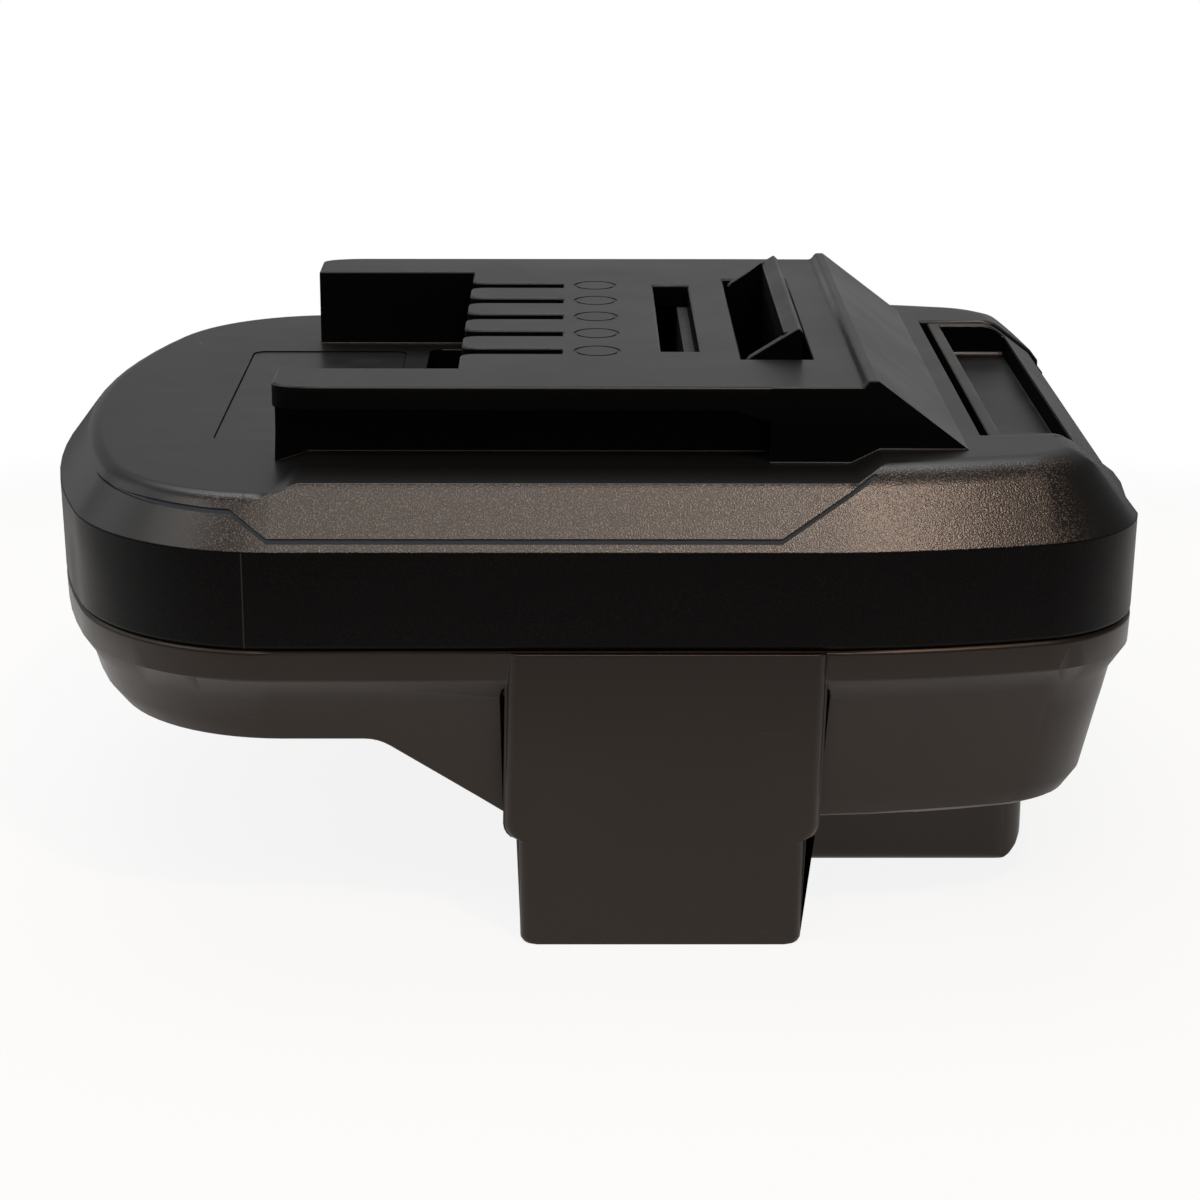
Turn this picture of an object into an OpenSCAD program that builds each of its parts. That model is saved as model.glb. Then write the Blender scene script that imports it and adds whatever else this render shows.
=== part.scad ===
// Tool battery adapter: a slide rail with contact slots and a sprung release latch on top,
// a deep socket with two side ears for a stem type battery pack underneath.
// Millimetres. +Z is up, +X points to the release button, Y = 0 is the plane of symmetry.
// The origin is at the centre of the underside, where the ears and the socket collar stand.

/* [Housing] */
// Length of the housing, end to end
body_l = 98.6; // [94:0.1:104]
// Width of the housing across the band
body_w = 78.8; // [76:0.1:84]
// Height of the seam between the two housings
seam_z = 26.3; // [25:0.1:27.5]
// Height of the upper edge of the vertical band
band_top_z = 34.8; // [33.5:0.1:35.5]
// Height of the deck at the entry end
entry_deck_z = 38.9; // [38.4:0.1:39.3]
// Height of the deck around the release button
button_deck_z = 40.9; // [40.5:0.1:41.6]
// Inward run of the textured chamfer for each millimetre of its rise
chamfer_run = 0.756; // [0.6:0.01:0.9]
// Radius where the button deck rolls into the chamfer
deck_roll_r = 4; // [3:0.1:6]
// Radius of the rounded entry end
entry_end_r = 80; // [70:1:100]
// Radius of the corners at the entry end
entry_corner_r = 19; // [16:0.5:22]
// Radius of the button end
button_end_r = 150; // [120:1:220]
// Radius of the corners at the button end
button_corner_r = 12; // [10.5:0.5:15]
// Radius of the flanks that draw in towards the button end
flank_r = 85; // [75:1:120]
// Place along X where the flanks start to draw in
flank_x = 16.3; // [12:0.1:20]
// Wall of the upper and lower housing
wall = 2.3; // [1.8:0.1:2.6]
// Roof of the rail block and of the decks
roof_t = 2.2; // [1.8:0.1:2.5]
// Edge break on both sides of the seam
seam_break = 0.3; // [0.1:0.05:0.5]
// Place along X where the deck starts to fall towards the button end
fall_x = 40.9; // [40.4:0.1:41.3]
// Angle of that fall in degrees
fall_a = 37; // [33:0.5:40]
// Radius where the fall starts
fall_r = 3; // [2:0.1:5]
// Width of the crease line on the chamfer
crease_w = 0.4; // [0.3:0.05:0.6]
// Depth of the crease line
crease_d = 0.2; // [0.15:0.05:0.5]
// Height of the low part of the crease line
crease_z = 35.6; // [35.3:0.1:36]

/* [Slide rail] */
// Width of the rail across the lips
rail_w = 57.6; // [56:0.1:59]
// Width of the neck under the lips
neck_w = 50; // [48:0.1:52]
// Height of the top of the rail
rail_top_z = 46.3; // [45.8:0.1:47]
// Thickness of the lips
lip_t = 2.1; // [1.6:0.1:2.6]
// Height of the draft along the upper edge of the lips
lip_chamfer = 0.6; // [0.3:0.05:0.9]
// Inward run of that draft
lip_run = 0.15; // [0.1:0.05:0.6]
// Length of the round lead at the tips of the rail arms
lead_l = 4.4; // [2:0.1:6]
// Depth of that lead
lead_d = 1.8; // [0.6:0.1:2]
// Height of the floor of the side grooves
groove_z = 39.7; // [39.4:0.1:40.1]
// Place along X of the tips of the rail arms
arm_tip_x = -27.4; // [-30:0.1:-24]
// Gap between the rail arms
arm_gap_w = 43.5; // [41:0.1:45]
// Place along X of the front wall of the contact slots
front_wall_x = -11.8; // [-13:0.1:-11]
// Place along X where the side grooves end
groove_end_x = 14.9; // [13:0.1:17]
// Place along X where the low ridge starts
ridge_x = 22.6; // [21.5:0.1:23.5]
// Height of the ridge above the rail
ridge_h = 0.65; // [0.3:0.05:1]
// Width of the ridge
ridge_w = 1.2; // [0.8:0.1:2]
// Place along X where the slope behind the ridge meets the button deck
slope_end_x = 31.8; // [31:0.1:32.4]
// Fall of the lips' underside at the closed end of the grooves
lip_drop = 1; // [0.4:0.1:1.4]
// Radius of the plain rings moulded on the rail
ring_r = 2.1; // [1.6:0.1:2.4]
// Place along X of those rings
ring_x = 0.3; // [0:0.1:0.8]
// Width of the label recess
label_w = 36.2; // [30:0.1:38]
// Length of the label recess
label_l = 15.3; // [12:0.1:16]
// Place along X of the middle of the label recess
label_x = -26.1; // [-28:0.1:-25.5]
// Depth of the label recess
label_d = 0.3; // [0.2:0.05:0.6]
// Thickness of the blank label
label_t = 0.2; // [0.1:0.05:0.3]

/* [Contact slots] */
// Number of contact slots
slot_n = 5; // [5]
// Distance between neighbouring slots
slot_pitch = 7.4; // [7:0.1:7.8]
// Width of a slot
slot_w = 2.35; // [2:0.05:2.8]
// Place along X of the inner ends of the slots
slot_end_x = -2.8; // [-4:0.1:-2]
// Flare on each side of a slot's mouth
slot_flare = 0.9; // [0.4:0.1:1.4]
// Place along X where the key slot starts
key_slot_x = 6; // [5.4:0.1:6.6]
// Length of the key slot along X
key_slot_l = 3.4; // [3:0.1:4]
// Width of the key slot across the rail
key_slot_w = 30; // [26:0.5:32]
// Length of the floor opening in front of the slots
floor_gap_l = 4.4; // [3:0.1:5]
// Width of the floor opening in front of the slots
floor_gap_w = 37.8; // [34:0.1:40]

/* [Release latch] */
// Travel of the latch when its button is pressed
latch_travel = 3.2; // [2.8:0.1:3.4]
// Height of the hook above the rail
hook_h = 2.6; // [2.2:0.1:2.9]
// Place along X where the hook's window starts
window_x = 13; // [12.6:0.1:13.4]
// Length of the window along X
window_l = 6.2; // [5.8:0.1:6.6]
// Width of the window across the rail
window_w = 36.2; // [34:0.1:38]
// Thickness of the hook's cross bar
hook_bar_t = 1.6; // [1.2:0.1:2]
// Thickness of the hook's two ramp ribs
hook_rib_t = 1; // [0.8:0.1:1.4]
// Clearance in front of the hook
hook_clear = 0.4; // [0.3:0.05:0.6]
// Clearance behind the hook
hook_end_clear = 0.8; // [0.4:0.05:1]
// Clearance of the hook at the sides of its window
hook_side_clear = 0.9; // [0.4:0.1:1.2]
// Place along X where the button's opening starts
button_x = 33.4; // [33:0.1:34]
// Length of the button along X
button_l = 10.7; // [10.4:0.1:10.8]
// Width of the button's opening
button_w = 47.6; // [44:0.1:48]
// Gap along the inner edge of the button
button_gap = 0.8; // [0.4:0.05:1]
// Clearance along the other edges of the button
button_clear = 0.4; // [0.3:0.05:0.6]
// Height of the floor of the finger notch behind the button
notch_z = 31; // [30.6:0.1:31.2]
// How much earlier the button starts to fall than the deck
button_lead = 0.3; // [0.1:0.1:0.5]
// Place along X where the finger notch opens out
mouth_x = 45.8; // [45.5:0.1:46.4]
// How far the notch opens out on each side there
mouth_out = 3; // [1:0.1:4]
// Thickness of the button's apron in the notch
apron_t = 1.5; // [1.2:0.1:1.8]
// Depth of the finger dish
dish_d = 3.3; // [2:0.1:3.4]
// Width of the rims of the dish
dish_rim = 1.2; // [0.8:0.1:1.8]
// Width of the rim at the outer end of the dish
dish_end_rim = 3; // [2:0.1:3.2]
// Thickness of the plate under the latch
latch_plate_t = 1.7; // [1.4:0.1:1.8]
// Width of the tongue that joins hook and button
tongue_w = 24; // [18:0.5:28]
// Overhang of the stop flange beside the button's opening
flange_over = 2.2; // [1.4:0.1:2.6]
// Gap between the stop flange and the deck above it
stop_gap = 0.35; // [0.3:0.05:0.5]

/* [Latch springs] */
// Wire of the latch springs
spring_wire = 0.7; // [0.5:0.05:0.75]
// Diameter of the springs at the middle of the wire
spring_d = 4.2; // [4:0.1:4.4]
// Number of curls in a spring
spring_curls = 7; // [5:1:8]
// Length of a spring at rest
spring_l = 12.4; // [11:0.1:14]
// Place along X of both springs
spring_x = 36.5; // [35.5:0.1:37.5]
// Length of the pins that hold a spring's ends
spring_pin_l = 3; // [2:0.1:3.2]

/* [Lower housing] */
// Height of the flat underside around the socket
deep_z = 9.9; // [9:0.1:11.5]
// Height of the shallow underside at the entry end
shallow_z = 17.5; // [16.5:0.1:18]
// Place along X where the ramp between the two undersides starts
ramp_x = -18.3; // [-20:0.1:-16]
// Place along X where the ramp ends
ramp_end_x = -6.9; // [-8.2:0.1:-6.6]
// Length of the fillet where the ramp starts
ramp_fillet = 1.2; // [0.8:0.1:2.4]
// Height of the lower edge of the rim
rim_z = 23.6; // [23:0.1:24.2]
// Height where the step under the rim ends
step_z = 21.3; // [20.5:0.1:22]
// Inset of the rim from the band
rim_inset = 0.15; // [0.1:0.05:0.4]
// Inset of the wall under the step
step_inset = 2.4; // [1.8:0.1:3]
// Extra length of both ends under the step
end_step = 0.8; // [0.4:0.1:1.2]
// Tuck of the entry end at its underside
entry_tuck = 0.8; // [0.5:0.1:1.8]
// Inset of the wall at the underside
foot_inset = 4.2; // [3.4:0.1:4.8]
// Round-off of the underside at the button end
foot_end_r = 2; // [1:0.1:2.4]

/* [Ears] */
// Width of an ear at the seam
ear_top_w = 26.7; // [25:0.1:28]
// Width of an ear above its shoulder
ear_mid_w = 26.6; // [25.4:0.1:26.8]
// Width of an ear under its shoulder
ear_low_w = 24.2; // [22.8:0.1:25]
// Place along X of the middle of the ears
ear_x = 5.7; // [5:0.1:6.6]
// Shift along X of an ear's upper edge
ear_lean = 0.35; // [0:0.05:0.5]
// Height of the shoulder of an ear
ear_shoulder_z = 9.4; // [8:0.1:9.6]
// Radius of an ear's shoulders
ear_shoulder_r = 1.4; // [0.8:0.1:2]
// Radius of an ear's corners
ear_corner_r = 0.6; // [0.4:0.1:1.6]
// Radius of the upright edges of an ear's outer face
ear_edge_r = 0.9; // [0.4:0.1:1.2]
// How far the ears stand out beyond the band
ear_proud = 0.2; // [0.1:0.05:0.5]
// Width of the relief beside an ear, at its top
relief_w = 0.45; // [0.3:0.05:0.6]
// Depth of that relief in the wall
relief_d = 0.9; // [0.5:0.1:1.1]
// Depth of an ear from its outer face
ear_t = 8; // [7.4:0.1:8.4]
// Outer wall of an ear
ear_wall = 2.6; // [2:0.1:2.8]
// Height of the pocket inside an ear
ear_pocket_h = 20; // [17:0.5:21]
// Height of the catch inside an ear
catch_z = 8; // [6:0.1:10]
// Depth of the catch
catch_d = 1.3; // [0.8:0.1:1.3]

/* [Stem socket] */
// Length of the socket's opening
socket_l = 38.8; // [37:0.1:39.6]
// Width of the socket's opening
socket_w = 34; // [32:0.1:34.4]
// Depth of the socket
socket_depth = 30.5; // [29:0.1:30.8]
// Wall of the socket
socket_wall = 3.5; // [3.2:0.1:3.7]
// Place along X of the middle of the socket
socket_x = 16.5; // [16.1:0.1:16.8]
// Roof of the socket
socket_roof_t = 1.6; // [1.4:0.1:1.8]
// Corner radius of the collar
collar_r = 3; // [2:0.1:4]
// Edge radius along the ends of the collar's foot
collar_foot_r = 3; // [1:0.1:3.2]
// Edge radius along the sides of the collar's foot
collar_side_r = 1; // [0.4:0.1:1.4]
// Extra width of the collar over the socket's walls
collar_extra = 1.2; // [0:0.1:2]

/* [Contacts] */
// Sheet thickness of all contacts
sheet_t = 0.6; // [0.5:0.05:0.7]
// Length of a rail clip
clip_l = 8.6; // [8:0.1:9]
// Height of a rail clip
clip_h = 4.8; // [4:0.1:5]
// Gap between the arms of a rail clip at its base
clip_gap = 2; // [1.6:0.1:2.4]
// Gap between the arms where they pinch
clip_pinch = 0.8; // [0.5:0.1:1.2]
// Length of the bent tip of a rail clip
clip_tip_l = 3.2; // [2.6:0.1:3.6]
// Length of the flared lead at that tip
clip_lead_l = 1.3; // [1:0.1:1.6]
// Flare of the lead on each side
clip_lead_w = 0.7; // [0.4:0.1:0.9]
// Thickness of the contact holder's plate
holder_t = 2.5; // [2:0.1:2.7]
// Clearance of the contact holder in the rail block
holder_clear = 0.4; // [0.3:0.05:0.6]
// Width of the long socket leaves
leaf_w = 7; // [6.6:0.1:8]
// Place along X of the middle of the long socket leaves
leaf_x = 25; // [24:0.1:26]
// Width of the signal leaf
signal_leaf_w = 5.2; // [5:0.1:5.6]
// Place along Y of the middle of the signal leaf
signal_leaf_y = -9; // [-11:0.1:-7]
// Length of the leaves inside the socket
leaf_l = 16; // [12:0.5:20]
// Length of the straight neck of the leaves
leaf_neck_l = 5; // [4:0.1:6]
// Bulge of the leaves towards the pack's stem
leaf_bulge = 1.9; // [1.2:0.1:2.4]
// Length of the leaves' feet on the socket roof
leaf_foot_l = 3; // [2.6:0.1:3.2]

/* [Wires] */
// Diameter of the power wires
power_wire_d = 2.4; // [1.8:0.1:2.4]
// Diameter of the signal wire
signal_wire_d = 1.4; // [1:0.1:1.8]

/* [Fasteners] */
// Radius of the housing screws
screw_r = 1.45; // [1.2:0.05:1.6]
// Radius of the housing screws' heads
screw_head_r = 2.7; // [2.3:0.1:2.9]
// Height of the housing screws' heads
screw_head_h = 2; // [1.6:0.1:2.4]
// Length of the housing screws under their heads
screw_l = 12; // [10:0.5:13]
// Material between a housing screw's head and the seam
screw_grip = 4; // [3:0.1:5]
// Radius of the screw columns
column_r = 3.7; // [3.5:0.1:4]
// Place along X of the screws at the entry end
entry_screw_x = -33; // [-35:0.5:-31]
// Distance of those screws from the flank
entry_screw_in = 17.4; // [15.5:0.1:19]
// Place along X of the screws near the button
button_screw_x = 26; // [25.5:0.1:27]
// Distance of those screws from the flank
button_screw_in = 10.4; // [10:0.1:10.8]
// Radius of the contact holder's screws
holder_screw_r = 0.95; // [0.8:0.05:1.1]
// Length of the contact holder's screws under their heads
holder_screw_l = 6.5; // [5:0.1:7]
// Radius of the contact holder's bosses
holder_boss_r = 2.3; // [2:0.1:2.5]
// Radius of the rivets that hold the leaves
rivet_r = 0.7; // [0.5:0.05:0.8]

/* [Hidden] */
$fn = 96;

// A cut reaches this far past the face that it opens
eps = 0.5;
// A screw or pin is this much thinner than its hole
pin_clear = 0.05;
// A sheet contact has this much room in the slot that it passes
sheet_clear = 0.2;

half_w = body_w / 2;
entry_x = -body_l / 2;
end_x = body_l / 2;

// Centres and tangent angles of the arcs that make up the outline
entry_end_c = [entry_x + entry_end_r, 0];
entry_corner_y = half_w - entry_corner_r;
entry_reach = entry_end_r - entry_corner_r;
entry_corner_c = [
    entry_end_c.x - sqrt(entry_reach * entry_reach - entry_corner_y * entry_corner_y), entry_corner_y
];
entry_a = atan2(entry_corner_c.y, entry_corner_c.x - entry_end_c.x);
button_end_c = [end_x - button_end_r, 0];
flank_c = [flank_x, half_w - flank_r];
button_corner_c = meet(button_end_c, button_end_r - button_corner_r, flank_c, flank_r - button_corner_r);
end_a = angle_to(button_end_c, button_corner_c);
flank_a = angle_to(flank_c, button_corner_c);

// Half of the outline as arcs, from the button end to the entry end:
// [centre, radius, first angle, last angle, number of steps]
outline_arcs = [
    [button_end_c, button_end_r, 0, end_a, 6],
    [button_corner_c, button_corner_r, end_a, flank_a, 12],
    [flank_c, flank_r, flank_a, 90, 5],
    [entry_corner_c, entry_corner_r, 90, entry_a, 14],
    [entry_end_c, entry_end_r, entry_a, 180, 7]
];

// Upper housing
chamfer_a = atan2(1, chamfer_run);
deck_edge = (button_deck_z - band_top_z) * chamfer_run;
roll_run = deck_roll_r * tan(chamfer_a / 2);
ramp_l = 2.4;
entry_ramp_x = arm_tip_x + 0.4;
button_ramp_x = ridge_x + 1.6;
roof_z = rail_top_z - roof_t;
cavity_z = entry_deck_z - roof_t;
button_roof_z = button_deck_z - roof_t;
rail_room_w = neck_w - 2 * wall;
front_room_x = front_wall_x + 2;
lip_z = rail_top_z - lip_t;
lip_drop_l = 3.1;
ring_w = 0.3;
ring_d = 0.08;
lead_pts = [for (a = [0:15:90]) [arm_tip_x + lead_l * (1 - cos(a)), lead_d * (1 - sin(a))]];
floor_gap_r = 1.2;
label_r = 1.2;

// Release latch
flange_z = button_roof_z - stop_gap;
latch_z = flange_z - latch_plate_t;
hook_x = window_x + hook_clear;
hook_end_x = window_x + window_l - hook_end_clear;
hook_w = window_w - 2 * hook_side_clear;
hook_top_z = rail_top_z + hook_h;
cap_x = button_x + button_gap;
cap_end_x = cap_x + button_l;
cap_w = button_w - 2 * button_clear;
cap_inset = 0.15;
cap_edge_r = 0.8;
dish_r = 0.7;
apron_z = notch_z - 0.8;
apron_room_z = apron_z - latch_travel - 0.4;
flange_w = button_w + 2 * flange_over;
flange_x = button_x - 1.6;
flange_end_x = cap_end_x - 4.5;
room_clear = 0.5;

// Latch springs
spring_gap = 0.1;
spring_foot_z = latch_z - spring_l;
spring_pin_r = spring_d / 2 - spring_wire / 2 - 0.35;
spring_out_r = spring_d / 2 + spring_wire / 2;
spring_post_r = spring_out_r + 0.3;

// Lower housing
floor_z = deep_z + wall;
socket_roof_z = socket_depth + socket_roof_t;
tower_l = socket_l + 2 * socket_wall;
tower_w = socket_w + 2 * socket_wall;
spring_y = tower_w / 2 + spring_out_r + room_clear;
collar_w = tower_w + collar_extra;
foot_edge = 0.4;
socket_end_x = socket_x - socket_l / 2;
ear_gap = 0.15;
ear_hair = 0.03;
ear_y = half_w + ear_proud;
pocket_w = ear_low_w - 2 * ear_wall;
pocket_y = ear_y - ear_wall;
pocket_in_y = ear_y - ear_t;

// Contacts
holder_z = roof_z - clip_h - 0.9;
holder_boss_x = 2.5;
holder_boss_y = rail_room_w / 2 - holder_boss_r - 0.4;
clip_x = front_room_x + 0.4;
clip_end_x = clip_x + clip_l;
power_y = 2 * slot_pitch;
tail_l = holder_t + 2.4;
tail_z = holder_z - tail_l;
leaf_gap = 0.3;
leaf_y = socket_w / 2 - leaf_gap;
leaf_top_z = socket_roof_z + sheet_t;
clip_w = clip_gap + 2 * sheet_t;
rib_t = 1;

// Screws
screw_seat_z = seam_z - screw_grip;
entry_screw_y = half_w - entry_screw_in;
button_screw_y = half_w - button_screw_in;
screw_places = [
    [entry_screw_x, entry_screw_y], [entry_screw_x, -entry_screw_y],
    [button_screw_x, button_screw_y], [button_screw_x, -button_screw_y]
];
holder_places = [[holder_boss_x, holder_boss_y], [holder_boss_x, -holder_boss_y]];
holder_head_r = 1.9;
holder_head_h = 1.3;

// Rivets: [place, turn] of each leaf's foot, with the rivet beside the wire
rivet_off = 1.9;
rivet_in = leaf_foot_l / 2;
rivet_head_r = 1.2;
rivet_head_h = 0.5;
signal_leaf_x = socket_end_x + leaf_gap;
rivet_places = [
    [leaf_x + rivet_off, leaf_y + rivet_in], [leaf_x + rivet_off, -leaf_y - rivet_in],
    [signal_leaf_x - rivet_in, signal_leaf_y + signal_leaf_w / 4]
];

// Routes of the wires, from a leaf's foot to a clip's tail
wire_gap = 0.05;
wire_z = leaf_top_z + power_wire_d / 2 + wire_gap;
tail_wire_z = holder_z - holder_t - power_wire_d / 2 - 0.2;
wire_x = leaf_x - leaf_w / 4;
wire_y = tower_w / 2 + 0.5;
power_route = [
    [wire_x, leaf_y, wire_z], [wire_x, leaf_y + 1.6, wire_z], [wire_x - 0.8, wire_y - 1, wire_z],
    [wire_x - 2.6, wire_y, wire_z], [17, wire_y, wire_z], [12, wire_y - 0.2, wire_z],
    [8.2, wire_y - 1.2, wire_z], [5.8, 17.8, wire_z + 0.2], [4.4, 16, tail_wire_z - 0.1],
    [2.4, power_y, tail_wire_z], [clip_end_x, power_y, tail_wire_z]
];
signal_z = leaf_top_z + signal_wire_d / 2 + wire_gap;
signal_y = signal_leaf_y - signal_leaf_w / 4;
signal_route = [
    [signal_leaf_x, signal_y, signal_z], [signal_leaf_x - 2.4, signal_y, signal_z],
    [-8, signal_y + 1.4, signal_z], [-8.8, -6, signal_z], [-8.4, -3, signal_z + 0.4],
    [-6.6, -0.8, tail_wire_z], [-4.4, 0, tail_wire_z], [clip_end_x - sheet_t, 0, tail_wire_z]
];

// The direction in degrees from point a to point b
function angle_to(a, b) = atan2(b.y - a.y, b.x - a.x);

// The upper crossing of two circles
function meet(a, ra, b, rb) =
    let (
        d = norm(b - a),
        u = (b - a) / d,
        s = (ra * ra - rb * rb + d * d) / (2 * d),
        h = sqrt(ra * ra - s * s)
    )
    a + s * u + h * [-u.y, u.x];

// Points along an arc, moved inwards, without its last point
function along_arc(arc, inset) =
    [for (i = [0:arc[4] - 1])
        let (a = arc[2] + (arc[3] - arc[2]) * i / arc[4])
        arc[0] + (arc[1] - inset) * [cos(a), sin(a)]];

// Points of a round corner about c
function round_corner(c, r, a0, a1, n = 4) =
    [for (i = [0:n]) c + r * [cos(a0 + (a1 - a0) * i / n), sin(a0 + (a1 - a0) * i / n)]];

// The whole outline, moved inwards
function half_outline(inset) = [for (arc = outline_arcs) each along_arc(arc, inset)];
function outline(inset) =
    let (half = half_outline(inset))
    concat(half, [[entry_x + inset, 0]], [for (i = [len(half) - 1:-1:1]) [half[i].x, -half[i].y]]);

// Sections of the housings, from the bottom up:
// [inset from the outline, height, extra length of the button end, extra length of the entry end]
roll_c = [deck_edge + roll_run, button_deck_z - deck_roll_r];
upper_section = concat(
    [[rim_inset + seam_break, seam_z], [rim_inset, seam_z + seam_break], [0, band_top_z]],
    round_corner(roll_c, deck_roll_r, 90 + chamfer_a, 90, 5)
);
upper_room_section = [
    [wall + rim_inset, seam_z - eps], [wall + rim_inset, band_top_z - 1],
    [wall + rim_inset + (cavity_z - band_top_z + 1) * 1.1, cavity_z]
];
tuck_z = shallow_z + 1.6;
function wall_inset(z) = step_inset + (foot_inset - step_inset) * (step_z - z) / (step_z - deep_z);
lower_section = [
    [foot_inset + foot_edge, deep_z, -foot_end_r, -entry_tuck],
    [foot_inset, deep_z + foot_edge, -foot_end_r * 0.5, -entry_tuck],
    [wall_inset(deep_z + foot_end_r), deep_z + foot_end_r, 0, -entry_tuck],
    [wall_inset(shallow_z), shallow_z, end_step * 0.6, -entry_tuck],
    [wall_inset(tuck_z), tuck_z, end_step * 0.8, end_step * 0.6],
    [step_inset, step_z, end_step, end_step],
    [rim_inset + 0.1, rim_z], [rim_inset, seam_z - seam_break], [rim_inset + seam_break, seam_z]
];
lower_room_section = [
    [foot_inset + wall, floor_z], [step_inset + wall, step_z], [rim_inset + wall, rim_z],
    [rim_inset + wall, seam_z + eps]
];
crease_section = [for (p = upper_section) [p[0] + crease_d, p[1]]];
relief_section = [for (p = lower_section) concat(p[0] + relief_d, [for (i = [1:len(p) - 1]) p[i]])];

// A solid through closed rings of points, all with the same number of points
module loft(rings) {
    n = len(rings[0]);
    top = len(rings) - 1;
    walls = [for (i = [0:top - 1], k = [0:n - 1])
        let (a = i * n + k, b = i * n + (k + 1) % n)
        [a, a + n, b + n, b]];
    caps = [[for (k = [0:n - 1]) k], [for (k = [n - 1:-1:0]) top * n + k]];
    polyhedron([for (r = rings) each r], concat(walls, caps));
}

// A body that follows the outline, with the inset given at each height
function stretch(p, x) = len(p) > 2 ? 1 + p[x > 0 ? 2 : 3] / end_x : 1;
module outline_body(section) {
    loft([for (p = section) [for (q = outline(p[0])) [q.x * stretch(p, q.x), q.y, p[1]]]]);
}

module both_sides() {
    children();
    mirror([0, 1, 0]) children();
}

// A profile in the plane of symmetry, as wide as w
module across(w) {
    translate([0, w / 2, 0])
        rotate([90, 0, 0])
            linear_extrude(w)
                children();
}

// A profile [distance from the plane of symmetry, height], from x0 to x1
module along(x0, x1) {
    translate([x0, 0, 0])
        rotate([90, 0, 90])
            linear_extrude(x1 - x0)
                children();
}

module box(x0, x1, y0, y1, z0, z1) {
    translate([x0, y0, z0]) cube([x1 - x0, y1 - y0, z1 - z0]);
}

// A box centred on the plane of symmetry
module mid_box(x0, x1, w, z0, z1) {
    box(x0, x1, -w / 2, w / 2, z0, z1);
}

module rounded_plate(x, l, w, r, z0, z1) {
    translate([x, 0, z0])
        linear_extrude(z1 - z0)
            union() {
                square([l - 2 * r, w], center = true);
                square([l, w - 2 * r], center = true);
                for (sx = [-1, 1], sy = [-1, 1])
                    translate([sx * (l / 2 - r), sy * (w / 2 - r)]) circle(r);
            }
}

// Line of the deck that falls towards the button end, from its start to an x beyond
fall_start_x = fall_x - fall_r * tan(fall_a / 2);
function fall_z(x) = button_deck_z - (x - fall_x) * tan(fall_a);
function fall_line(to_x) = concat(
    round_corner([fall_start_x, button_deck_z - fall_r], fall_r, 90, 90 - fall_a),
    [[to_x, fall_z(to_x)]]
);

// The crease line on both chamfers, as seen from the side
module crease() {
    tip = [-43, crease_z + 2.2];
    line = [
        [-36.5, crease_z + 2.1], [-30.1, crease_z + 2], [-27, crease_z], [15.4, crease_z],
        [23.2, crease_z + 4.5]
    ];
    h = crease_w / 2;
    lower = [for (q = line) q - [0, h]];
    upper = [for (i = [len(line) - 1:-1:0]) line[i] + [0, h]];
    difference() {
        both_sides()
            translate([0, body_w / 2 + eps, 0])
                rotate([90, 0, 0])
                    linear_extrude(body_w / 4)
                        polygon(concat([tip], lower, upper));
        outline_body(crease_section);
    }
}

// Outer form of the upper housing with its decks at three heights and its fall to the button end
module upper_form() {
    difference() {
        outline_body(upper_section);
        crease();
        across(body_w + 2 * eps)
            polygon(concat(
                fall_line(end_x + eps),
                [[end_x + eps, button_deck_z + eps], [fall_start_x, button_deck_z + eps]]
            ));
        across(body_w + 2 * eps)
            polygon([
                [entry_x - eps, entry_deck_z], [entry_ramp_x, entry_deck_z],
                [entry_ramp_x + ramp_l, groove_z], [button_ramp_x - ramp_l, groove_z],
                [button_ramp_x, button_deck_z], [button_ramp_x, button_deck_z + eps],
                [entry_x - eps, button_deck_z + eps]
            ]);
    }
}

// Rail block with its ridge and slope, before the side grooves are cut
module rail_block() {
    across(rail_w)
        polygon([
            [front_wall_x, cavity_z], [front_wall_x, rail_top_z], [ridge_x, rail_top_z],
            [ridge_x + ridge_w * 0.4, rail_top_z + ridge_h], [ridge_x + ridge_w, rail_top_z + ridge_h],
            [slope_end_x, button_deck_z], [slope_end_x, cavity_z]
        ]);
    both_sides()
        box(arm_tip_x, front_wall_x + eps, arm_gap_w / 2, rail_w / 2, cavity_z, rail_top_z);
}

// Space that the tool's rails take up under one lip, with the lip's lead and chamfer
module side_groove() {
    out_y = rail_w / 2 + eps;
    tip_x = arm_tip_x - eps;
    translate([0, out_y, 0])
        rotate([90, 0, 0])
            linear_extrude(out_y - neck_w / 2)
                polygon([
                    [tip_x, entry_deck_z], [entry_ramp_x, entry_deck_z], [entry_ramp_x + ramp_l, groove_z],
                    [groove_end_x, groove_z], [groove_end_x, lip_z - lip_drop],
                    [groove_end_x - lip_drop_l, lip_z], [tip_x, lip_z]
                ]);
    translate([0, 0, groove_z])
        linear_extrude(rail_top_z - groove_z + eps)
            polygon(concat(
                [[tip_x, rail_w / 2 - lead_d]],
                [for (q = lead_pts) [q.x, rail_w / 2 - q.y]],
                [[arm_tip_x + lead_l, out_y], [tip_x, out_y]]
            ));
    loft([for (q = concat([[tip_x, lead_d]], lead_pts, [[groove_end_x, 0]]))
        let (y = rail_w / 2 - q.y, over = eps * lip_run / lip_chamfer)
        [
            [q.x, y, rail_top_z - lip_chamfer], [q.x, out_y, rail_top_z - lip_chamfer],
            [q.x, out_y, rail_top_z + eps], [q.x, y - lip_run - over, rail_top_z + eps]
        ]]);
}

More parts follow.
